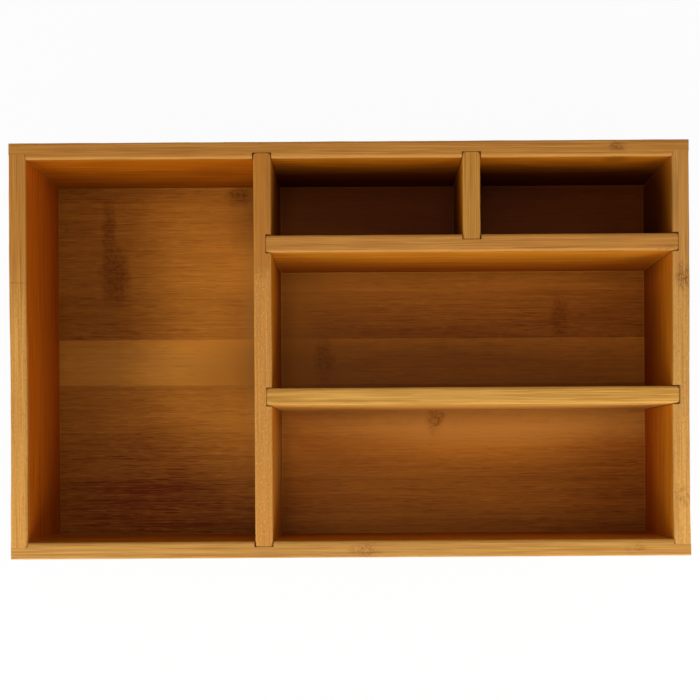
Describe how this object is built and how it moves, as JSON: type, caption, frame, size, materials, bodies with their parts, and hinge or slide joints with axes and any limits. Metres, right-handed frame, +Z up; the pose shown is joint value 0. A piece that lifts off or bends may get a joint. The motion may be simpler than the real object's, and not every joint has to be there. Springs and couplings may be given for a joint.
{
  "type": "cutlery tray",
  "caption": "Deep rectangular bamboo cutlery tray with a large bay beside long and small bays, split by fixed dividers housed in its walls, for cutlery in a drawer.",
  "frame": {"origin": "middle of the footprint, on the surface that the tray stands on", "axes": "+X to the right along the tray's length, +Y from the front wall to the back wall, +Z up"},
  "size_m": [0.38, 0.2326, 0.064],
  "materials": {
    "bamboo_wall": "satin",
    "bamboo_divider": "satin",
    "bamboo_panel": "satin"
  },
  "bodies": {
    "root": {"front_wall": "bamboo_wall", "back_wall": "bamboo_wall", "left_wall": "bamboo_wall", "right_wall": "bamboo_wall", "floor_panel": "bamboo_panel", "main_divider": "bamboo_divider", "front_long_divider": "bamboo_divider", "back_long_divider": "bamboo_divider", "short_divider": "bamboo_divider"}
  },
  "joints": []
}
